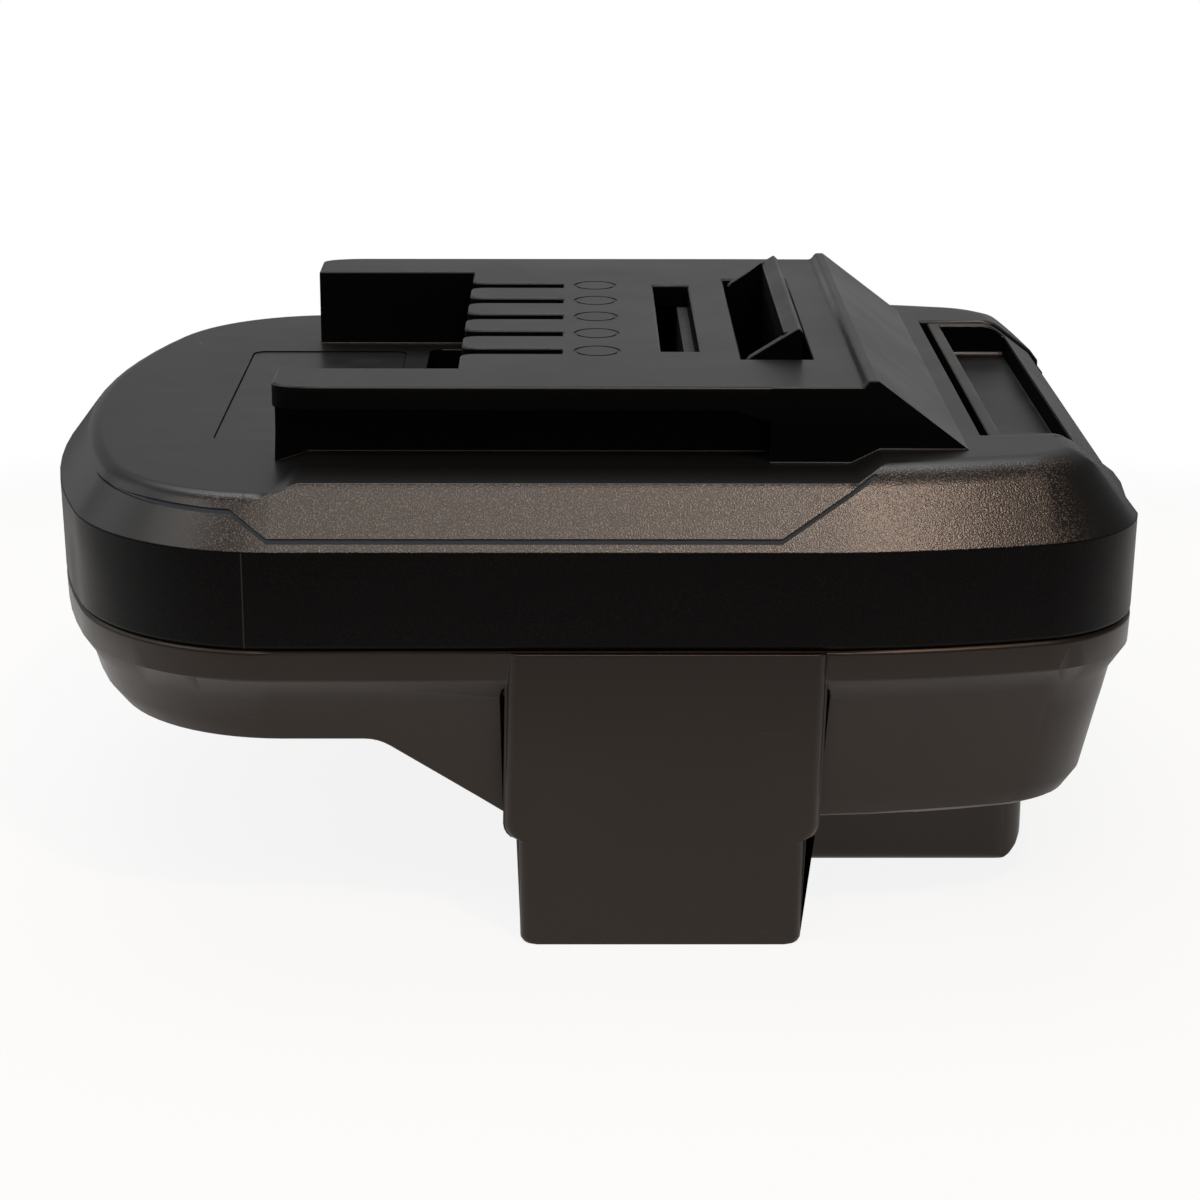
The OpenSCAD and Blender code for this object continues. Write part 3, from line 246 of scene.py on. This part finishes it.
def chamfer_grain_painted_glints():
    """Chamfer of the upper housing: coarse grain with painted warm glints on the long sides,
    smooth at the ends.
    """
    material, tree, shader = new_material("chamfer_grain_painted_glints")
    place = place_mm(tree)
    grain = grain_share(tree, place)
    coarse = noise(tree, place, 7.2, detail=0.5)
    broad = noise(tree, place, 0.09, detail=2.0)
    # The warm bright specks of the grain are painted glints in the colour.
    glint = ramp_between(tree, coarse, 0.52, 0.66)
    grain_painted_glints = mix_colour(tree, glint, (0.0040, 0.0033, 0.0028), (0.085, 0.068, 0.056))
    smooth = mix_colour(tree, broad, (0.0040, 0.0040, 0.0041), (0.0062, 0.0062, 0.0064))
    colour = mix_colour(tree, grain, smooth, grain_painted_glints)
    colour = mix_colour(tree, specks(tree, place, 5.0, 0.15, 0.10), colour, DUST)
    rough = math_node(tree, "SUBTRACT", 0.36, math_node(tree, "MULTIPLY", grain, 0.05))
    line = math_node(tree, "MULTIPLY", mould_line(tree, place, MOULD_LINE_X, 0.08), -1.4)
    height = math_node(tree, "ADD", math_node(tree, "MULTIPLY", coarse, grain), line)
    link(
        tree, shader, Base_Color=colour, Roughness=rough, Normal=bump(tree, height, 0.022 * MM),
        Specular_IOR_Level=0.5,
    )
    return material


def upper_wall_painted_shade():
    """Upright faces of the rail and the deck: a darker copy of the skin whose near-black is
    painted shade, and smoother.
    """
    material, tree, shader = new_material("upper_wall_painted_shade")
    place = place_mm(tree)
    broad = noise(tree, place, 0.12, detail=3.0)
    fine = noise(tree, place, 9.0, detail=2.0)
    # Near-black colour here is painted shade on the upright faces.
    colour = mix_colour(tree, broad, (0.0008, 0.0008, 0.0009), (0.0017, 0.0016, 0.0016))
    colour = mix_colour(tree, specks(tree, place, 6.0, 0.13, 0.07), colour, (0.06, 0.06, 0.055))
    rough = ramp_between(tree, broad, 0.3, 0.7, 0.40, 0.50)
    link(
        tree, shader, Base_Color=colour, Roughness=rough, Normal=bump(tree, fine, 0.004 * MM),
        Specular_IOR_Level=0.06,
    )
    return material


def upper_band_painted_shade():
    """Upright band under the chamfer: darker than the deck from painted shade, with a fine grain
    and faint painted glints.
    """
    material, tree, shader = new_material("upper_band_painted_shade")
    place = place_mm(tree)
    broad = noise(tree, place, 0.10, detail=3.0)
    coarse = noise(tree, place, 8.5, detail=0.5)
    glint = ramp_between(tree, coarse, 0.52, 0.68)
    # Darker colour is painted shade; the lighter specks of the grain are painted glints.
    colour = mix_colour(tree, glint, (0.0012, 0.0011, 0.0011), (0.0050, 0.0045, 0.0042))
    line = mould_line(tree, place, MOULD_LINE_X, 0.07)
    colour = mix_colour(tree, line, colour, (0.03, 0.029, 0.028))
    colour = mix_colour(tree, specks(tree, place, 6.0, 0.14, 0.07), colour, (0.08, 0.08, 0.075))
    rough = ramp_between(tree, broad, 0.3, 0.7, 0.36, 0.44)
    link(
        tree, shader, Base_Color=colour, Roughness=rough, Normal=bump(tree, coarse, 0.012 * MM),
        Specular_IOR_Level=0.10,
    )
    return material


def crease_painted_reflection():
    """Inside of the crease line: smooth, with a painted bluish reflection that lightens it."""
    material, tree, shader = new_material("crease_painted_reflection")
    place = place_mm(tree)
    broad = noise(tree, place, 0.3, detail=2.0)
    # Bluish grey colour is a painted reflection inside the crease.
    colour = mix_colour(tree, broad, (0.040, 0.049, 0.059), (0.052, 0.063, 0.075))
    rough = ramp_between(tree, broad, 0.3, 0.7, 0.50, 0.60)
    link(
        tree, shader, Base_Color=colour, Roughness=rough,
        Normal=bump(tree, noise(tree, place, 9.0), 0.01 * MM), Specular_IOR_Level=0.05,
    )
    return material


def lower_matte():
    """Lower housing: grey-black with a painted warm reflection in its colour and specular tint,
    fine matte, with dust and light rubbing.
    """
    material, tree, shader = new_material("lower_matte")
    place = place_mm(tree)
    broad = noise(tree, place, 0.07, detail=3.0)
    fine = noise(tree, place, 7.0, detail=3.0)
    rubbed = rubbing(tree, place, 0.5, (0.15, 1.0, 1.4), 0.66, 0.80, 0.35)
    # The warm tint of this colour and the specular tint below are a painted warm reflection.
    colour = mix_colour(tree, broad, (0.0030, 0.0023, 0.0019), (0.0048, 0.0037, 0.0030))
    colour = mix_colour(tree, rubbed, colour, (0.030, 0.026, 0.023))
    colour = mix_colour(tree, specks(tree, place, 5.5, 0.15, 0.10), colour, (0.12, 0.11, 0.10))
    rough = ramp_between(tree, broad, 0.3, 0.7, 0.36, 0.44)
    link(
        tree, shader, Base_Color=colour, Roughness=rough, Normal=bump(tree, fine, 0.006 * MM),
        Specular_IOR_Level=0.50, Specular_Tint=(1.0, 0.86, 0.76, 1.0),
    )
    return material


def latch_satin():
    """Release latch: black, slightly smoother than the deck."""
    material, tree, shader = new_material("latch_satin")
    place = place_mm(tree)
    broad = noise(tree, place, 0.15, detail=2.0)
    fine = noise(tree, place, 8.0, detail=2.0)
    colour = mix_colour(tree, broad, (0.0042, 0.0042, 0.0043), (0.0065, 0.0065, 0.0067))
    colour = mix_colour(tree, specks(tree, place, 4.0, 0.14, 0.10), colour, (0.25, 0.25, 0.24))
    rough = ramp_between(tree, broad, 0.3, 0.7, 0.33, 0.40)
    link(
        tree, shader, Base_Color=colour, Roughness=rough, Normal=bump(tree, fine, 0.004 * MM),
        Specular_IOR_Level=0.50,
    )
    return material


def latch_wall_painted_shade():
    """Upright faces of the release latch: near-black from painted shade."""
    material, tree, shader = new_material("latch_wall_painted_shade")
    place = place_mm(tree)
    broad = noise(tree, place, 0.2, detail=2.0)
    # Near-black colour here is painted shade on the upright faces.
    colour = mix_colour(tree, broad, (0.0008, 0.0008, 0.0009), (0.0017, 0.0017, 0.0018))
    rough = ramp_between(tree, broad, 0.3, 0.7, 0.62, 0.72)
    link(
        tree, shader, Base_Color=colour, Roughness=rough,
        Normal=bump(tree, noise(tree, place, 8.0), 0.004 * MM), Specular_IOR_Level=0.03,
    )
    return material


def label_film():
    """Blank film: a little bluer and smoother than the deck."""
    material, tree, shader = new_material("label_film")
    place = place_mm(tree)
    broad = noise(tree, place, 0.2, detail=2.0)
    fine = noise(tree, place, 6.0, detail=2.0)
    colour = mix_colour(tree, broad, (0.0065, 0.0075, 0.0090), (0.0090, 0.0100, 0.0118))
    colour = mix_colour(tree, specks(tree, place, 5.0, 0.14, 0.08), colour, (0.20, 0.20, 0.20))
    rough = ramp_between(tree, broad, 0.3, 0.7, 0.32, 0.38)
    link(
        tree, shader, Base_Color=colour, Roughness=rough, Normal=bump(tree, fine, 0.002 * MM),
        Specular_IOR_Level=0.5,
    )
    return material


def plain_moulding(name, dark, light, rough_low, rough_high):
    """A moulded or extruded plastic with a fine skin and uneven gloss."""
    material, tree, shader = new_material(name)
    place = place_mm(tree)
    broad = noise(tree, place, 0.3, detail=2.0)
    fine = noise(tree, place, 7.0, detail=2.0)
    rough = ramp_between(tree, broad, 0.3, 0.7, rough_low, rough_high)
    link(
        tree, shader, Base_Color=mix_colour(tree, broad, dark, light), Roughness=rough,
        Normal=bump(tree, fine, 0.015 * MM),
    )
    return material


def drawn_metal(name, dark, light, rough_low, rough_high, direction):
    """Metal with fine drawing lines along one direction and slight tarnish."""
    material, tree, shader = new_material(name)
    place = place_mm(tree)
    broad = noise(tree, place, 0.4, detail=3.0)
    stretched = node(tree, "ShaderNodeMapping", {"Vector": place, "Scale": direction})
    lines = noise(tree, stretched.outputs[0], 6.0, detail=3.0)
    rough = ramp_between(tree, lines, 0.3, 0.7, rough_low, rough_high)
    link(
        tree, shader, Base_Color=mix_colour(tree, broad, dark, light), Roughness=rough,
        Normal=bump(tree, lines, 0.006 * MM), Metallic=1.0,
    )
    return material


# Pieces

def set_material(piece, *materials):
    piece.data.materials.clear()
    for material in materials:
        piece.data.materials.append(material)


def near_crease(point):
    """Whether a point lies in the crease line on one of the long sides."""
    x, z = point.x / MM, point.z / MM
    if abs(point.y) < LONG_SIDE_Y:
        return False
    for (x0, z0), (x1, z1) in zip(CREASE, CREASE[1:]):
        line_z = z0 + (z1 - z0) * (x - x0) / (x1 - x0)
        within = x0 - CREASE_OVERRUN <= x <= x1 + CREASE_OVERRUN
        if within and abs(line_z - z) < CREASE_HALF_W:
            return True
    return False


def middle_of(edge):
    return (edge.verts[0].co + edge.verts[1].co) / 2


def on_ring(point):
    """Whether a point lies on one of the shallow rings on the rail."""
    return point.z > RAIL_TOP_Z - 0.1 * MM and abs(point.x - RING_X) < RING_R + 0.1 * MM


def edges_to_round(bm, lowest_z, highest_z=1.0, lowest_x=-1.0):
    """Edges in a range of heights that are sharp and long enough to take a small rounding."""
    return [
        edge for edge in bm.edges
        if len(edge.link_faces) == 2
        and edge.calc_face_angle(0.0) > SHARP
        and edge.calc_length() > LONG
        and lowest_z < middle_of(edge).z < highest_z
        and middle_of(edge).x > lowest_x
        and not all(near_crease(vert.co) for vert in edge.verts)
        and not all(on_ring(vert.co) for vert in edge.verts)
    ]


def opening_edges(bm):
    """The long edges of the button opening."""
    return [
        edge for edge in edges_to_round(bm, BAND_TOP_Z, lowest_x=BUTTON_X)
        if all(abs(abs(vert.co.y) - BUTTON_HALF_W) < 0.05 * MM for vert in edge.verts)
        and max(face.normal.z for face in edge.link_faces) > 0.6
    ]


def button_end_edges(bm):
    """The edge where the button's fall turns down into its apron."""
    chosen = []
    for edge in bm.edges:
        if len(edge.link_faces) != 2 or middle_of(edge).x < BUTTON_X:
            continue
        steep, flat = sorted(edge.link_faces, key=lambda face: face.normal.z)
        if steep.normal.x > 0.9 and flat.normal.z > 0.5 and flat.normal.x > 0.2:
            chosen.append(edge)
    return chosen


def entry_deck_edges(bm):
    """Edges where the entry deck meets the chamfer."""
    chosen = []
    for edge in bm.edges:
        middle = middle_of(edge)
        level = abs(middle.z - ENTRY_DECK_Z) < 0.05 * MM and middle.x < ENTRY_DECK_END_X
        if not level or len(edge.link_faces) != 2:
            continue
        low, high = sorted(face.normal.z for face in edge.link_faces)
        if high > 0.99 and 0.4 < low < 0.8:
            chosen.append(edge)
    return chosen


def round_edges(bm, edges, radius, segments):
    bmesh.ops.bevel(
        bm,
        geom=edges,
        offset=radius,
        offset_type="OFFSET",
        segments=segments,
        profile=0.5,
        affect="EDGES",
        clamp_overlap=False,
        material=-1,
    )
    bm.normal_update()


def moulded(node_name, piece_name, roundings=(), smooth_deg=35.0):
    """A copy of a CAD node with one skin, rounded edges and smooth curves, in the node's place.

    Each rounding is a function that picks edges, a radius and a number of segments.
    """
    mesh = nodes[node_name].data.copy()
    bm = bmesh.new()
    bm.from_mesh(mesh)
    bmesh.ops.remove_doubles(bm, verts=bm.verts, dist=0.002 * MM)
    bmesh.ops.dissolve_limit(bm, angle_limit=math.radians(0.3), verts=bm.verts, edges=bm.edges)
    bm.normal_update()
    for pick, radius, segments in roundings:
        round_edges(bm, pick(bm), radius, segments)
    bm.to_mesh(mesh)
    bm.free()
    mesh.name = piece_name
    piece = bpy.data.objects.new(piece_name, mesh)
    bpy.context.scene.collection.objects.link(piece)
    if mesh.has_custom_normals:
        bpy.context.view_layer.objects.active = piece
        with bpy.context.temp_override(object=piece, active_object=piece):
            bpy.ops.mesh.customdata_custom_splitnormals_clear()
    for polygon in mesh.polygons:
        polygon.use_smooth = True
    mesh.set_sharp_from_angle(angle=math.radians(smooth_deg))
    weighted = piece.modifiers.new("even_faces", "WEIGHTED_NORMAL")
    weighted.keep_sharp = True
    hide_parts(node_name)
    return piece


def assign_zones(piece, choose):
    """Gives each face the slot that choose(face, corners) names."""
    vertices = piece.data.vertices
    for face in piece.data.polygons:
        face.material_index = choose(face, [vertices[index].co for index in face.vertices])


def upper_zone(face, corners):
    """The slot of a face of the upper housing, by its place and the way it looks."""
    x, y, z = face.center
    # The crease takes a painted reflection, and the band and upright faces take darker skins of
    # painted shade.
    if x > CREASE_FADE_X and all(near_crease(corner) for corner in corners):
        return LINE
    if z < BAND_TOP_Z + 0.05 * MM:
        return BAND
    if face.normal.z < 0.25 and z < RAIL_TOP_Z - 0.1 * MM:
        return UPRIGHT
    past_button = x > CHAMFER_X[1] and abs(y) > BUTTON_HALF_W + 0.8 * MM
    outside = abs(y) > CHAMFER_Y or past_button or x < CHAMFER_X[0]
    return CHAMFER if outside and z < DECK_Z + 0.1 * MM else DECK


def latch_zone(face, _corners):
    """Slot 0 for faces of the latch that look up, 1 for upright faces, which take the skin of
    painted shade.
    """
    return 0 if face.normal.z > 0.3 else 1


upper = moulded(
    "upper_housing",
    "upper_housing_moulding",
    (
        (entry_deck_edges, 0.8 * MM, 4),
        (opening_edges, 0.4 * MM, 3),
        (lambda bm: edges_to_round(bm, RAIL_TOP_Z - 0.1 * MM), 0.22 * MM, 3),
        (lambda bm: edges_to_round(bm, SEAM_Z + 0.1 * MM, RAIL_TOP_Z - 0.1 * MM), 0.12 * MM, 3),
    ),
)
set_material(upper, upper_skin(), upper_wall_painted_shade(), upper_band_painted_shade(), crease_painted_reflection(), chamfer_grain_painted_glints())
assign_zones(upper, upper_zone)
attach(upper, "housing")

lower = moulded(
    "lower_housing",
    "lower_housing_moulding",
    ((lambda bm: edges_to_round(bm, 0.0, SEAM_Z + 1.0 * MM), 0.15 * MM, 3),),
)
set_material(lower, lower_matte())
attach(lower, "housing")

latch = moulded(
    "release_latch",
    "release_latch_moulding",
    (
        (button_end_edges, 0.7 * MM, 4),
        (lambda bm: edges_to_round(bm, BAND_TOP_Z, lowest_x=BUTTON_X), 0.25 * MM, 3),
        (lambda bm: edges_to_round(bm, BAND_TOP_Z), 0.15 * MM, 3),
    ),
)
set_material(latch, latch_satin(), latch_wall_painted_shade())
assign_zones(latch, latch_zone)
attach(latch, "latch")

spring_steel = drawn_metal(
    "spring_steel", (0.42, 0.42, 0.43), (0.60, 0.60, 0.61), 0.22, 0.36, (1.0, 1.0, 0.2)
)
for side in ("left", "right"):
    spring = moulded("latch_spring_" + side, "latch_spring_" + side + "_coil", smooth_deg=75.0)
    set_material(spring, spring_steel)
    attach(spring, "housing")
    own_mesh(spring)

# Skins of the pieces that keep their CAD mesh
plated = drawn_metal(
    "contact_plate", (0.55, 0.50, 0.40), (0.74, 0.69, 0.58), 0.24, 0.38, (1.0, 1.0, 0.1)
)
zinc = drawn_metal(
    "screw_zinc", (0.34, 0.34, 0.35), (0.50, 0.50, 0.51), 0.28, 0.42, (1.0, 0.3, 1.0)
)
brass = drawn_metal(
    "rivet_brass", (0.55, 0.40, 0.16), (0.72, 0.55, 0.26), 0.26, 0.40, (1.0, 1.0, 0.3)
)
nylon = plain_moulding(
    "holder_nylon", (0.010, 0.010, 0.010), (0.016, 0.016, 0.017), 0.45, 0.55
)
red = plain_moulding("wire_red", (0.32, 0.012, 0.010), (0.45, 0.02, 0.016), 0.38, 0.5)
black = plain_moulding("wire_black", (0.010, 0.010, 0.010), (0.02, 0.02, 0.02), 0.38, 0.5)
yellow = plain_moulding("wire_yellow", (0.50, 0.34, 0.03), (0.62, 0.45, 0.05), 0.38, 0.5)
for name, skin in (
    ("blank_label", label_film()),
    ("contact_holder", nylon),
    ("housing_screws", zinc),
    ("holder_screws", zinc),
    ("leaf_rivets", brass),
):
    set_material(nodes[name], skin)
for pole, insulation in (("positive", red), ("negative", black), ("signal", yellow)):
    set_material(nodes[pole + "_wire"], insulation)
    set_material(nodes[pole + "_clip"], plated)
    set_material(nodes[pole + "_leaf"], plated)


# Floor, light and camera

def pale_floor():
    """A painted pool of light round the adapter that fades into a dark surround of painted shade:
    white to the camera, clear from below.
    """
    bm = bmesh.new()
    bmesh.ops.create_circle(bm, cap_ends=True, segments=96, radius=FLOOR_R)
    bmesh.ops.translate(bm, verts=bm.verts, vec=(0.0, 0.0, -FLOOR_DROP))
    mesh = bpy.data.meshes.new("floor")
    bm.to_mesh(mesh)
    bm.free()
    floor = bpy.data.objects.new("floor", mesh)
    bpy.context.scene.collection.objects.link(floor)
    material = bpy.data.materials.new("pale_floor")
    material.use_nodes = True
    tree = material.node_tree
    tree.nodes.clear()
    coordinates = node(tree, "ShaderNodeTexCoord").outputs["Object"]
    stretched = {"Vector": coordinates, "Scale": PAINTED_POOL_STRETCH}
    place = node(tree, "ShaderNodeMapping", stretched).outputs[0]
    radius = node(tree, "ShaderNodeVectorMath", {0: place}, operation="LENGTH").outputs["Value"]
    # The round white patch near the adapter, which also glows white in reflections, is a painted
    # pool of light; the dark surround beyond its edge is painted shade.
    painted_pool = ramp_between(tree, radius, *PAINTED_POOL_EDGE, 1.0, 0.0)
    colour = mix_colour(tree, painted_pool, (0.05, 0.05, 0.05), (0.85, 0.85, 0.85))
    paper = node(tree, "ShaderNodeBsdfDiffuse", {"Color": colour})
    white = node(tree, "ShaderNodeEmission", {"Color": (1.0, 1.0, 1.0, 1.0), "Strength": 1.0})
    path = node(tree, "ShaderNodeLightPath")
    glossy, through = path.outputs["Is Glossy Ray"], path.outputs["Is Transmission Ray"]
    mirrored = math_node(tree, "MAXIMUM", glossy, through)
    mirrored = math_node(tree, "MULTIPLY", mirrored, math_node(tree, "MULTIPLY", painted_pool, 0.65))
    seen = math_node(tree, "SUBTRACT", 1.0, math_node(tree, "MULTIPLY", painted_pool, 0.12))
    seen = math_node(tree, "MULTIPLY", path.outputs["Is Camera Ray"], seen)
    share = math_node(tree, "MAXIMUM", seen, mirrored)
    mixed = node(tree, "ShaderNodeMixShader", {0: share, 1: paper.outputs[0], 2: white.outputs[0]})
    clear = node(tree, "ShaderNodeBsdfTransparent")
    below = node(tree, "ShaderNodeNewGeometry").outputs["Backfacing"]
    sides = {0: below, 1: mixed.outputs[0], 2: clear.outputs[0]}
    one_sided = node(tree, "ShaderNodeMixShader", sides)
    node(tree, "ShaderNodeOutputMaterial", {"Surface": one_sided.outputs[0]})
    floor.data.materials.append(material)


def studio_world():
    """White to the camera and near the horizon in reflections, and a soft grey room otherwise."""
    world = bpy.data.worlds.new("studio")
    bpy.context.scene.world = world
    world.use_nodes = True
    tree = world.node_tree
    tree.nodes.clear()
    direction = node(tree, "ShaderNodeTexCoord").outputs["Generated"]
    across, _, height = axes_of(tree, direction)
    low = ramp_between(tree, height, 0.02, 0.12, 1.0, 0.0)
    room = ramp_between(tree, height, 0.35, 0.80, 0.34, 0.18)
    room = math_node(tree, "MULTIPLY", room, ramp_between(tree, across, -0.25, 0.05, 0.65, 1.0))
    room = math_node(tree, "MULTIPLY", room, ramp_between(tree, across, 0.30, 0.70, 1.0, 0.30))
    path = node(tree, "ShaderNodeLightPath")
    seen, through = path.outputs["Is Camera Ray"], path.outputs["Is Transmission Ray"]
    shown = math_node(tree, "MAXIMUM", seen, through)
    mirrored = math_node(tree, "MULTIPLY", path.outputs["Is Glossy Ray"], low)
    share = math_node(tree, "MAXIMUM", shown, mirrored)
    dim = node(tree, "ShaderNodeBackground", {"Color": (1.0, 1.0, 1.0, 1.0), "Strength": room})
    white = node(tree, "ShaderNodeBackground", {"Color": (1.0, 1.0, 1.0, 1.0), "Strength": 1.0})
    mixed = node(tree, "ShaderNodeMixShader", {0: share, 1: dim.outputs[0], 2: white.outputs[0]})
    node(tree, "ShaderNodeOutputWorld", {"Surface": mixed.outputs[0]})


def softbox(name, place, size, power, colour):
    """A soft lamp that looks at the adapter."""
    data = bpy.data.lights.new(name, "AREA")
    data.shape = "RECTANGLE"
    data.size, data.size_y = size
    data.energy = power
    data.color = colour
    lamp = bpy.data.objects.new(name, data)
    bpy.context.scene.collection.objects.link(lamp)
    aim = Vector(LAMP_TARGET) - Vector(place)
    turn = aim.to_track_quat("-Z", "Y").to_matrix().to_4x4()
    lamp.matrix_world = Matrix.Translation(place) @ turn


def photo_camera():
    """The camera at the place from which the photograph was taken."""
    data = bpy.data.cameras.new("photo_camera")
    data.lens = CAMERA_LENS
    data.sensor_width = CAMERA_SENSOR
    data.sensor_fit = "HORIZONTAL"
    data.clip_start = 0.01
    data.clip_end = 50.0
    camera = bpy.data.objects.new("photo_camera", data)
    bpy.context.scene.collection.objects.link(camera)
    turn = Matrix.Rotation(-CAMERA_TURN, 4, "Z")
    tilt = Matrix.Rotation(math.pi / 2 - CAMERA_TILT, 4, "X")
    roll = Matrix.Rotation(CAMERA_ROLL, 4, "Z")
    camera.matrix_world = Matrix.Translation(CAMERA_PLACE) @ turn @ tilt @ roll
    bpy.context.scene.camera = camera


pale_floor()
studio_world()
for lamp in LAMPS:
    softbox(*lamp)
photo_camera()

bpy.context.scene.view_settings.view_transform = "Standard"
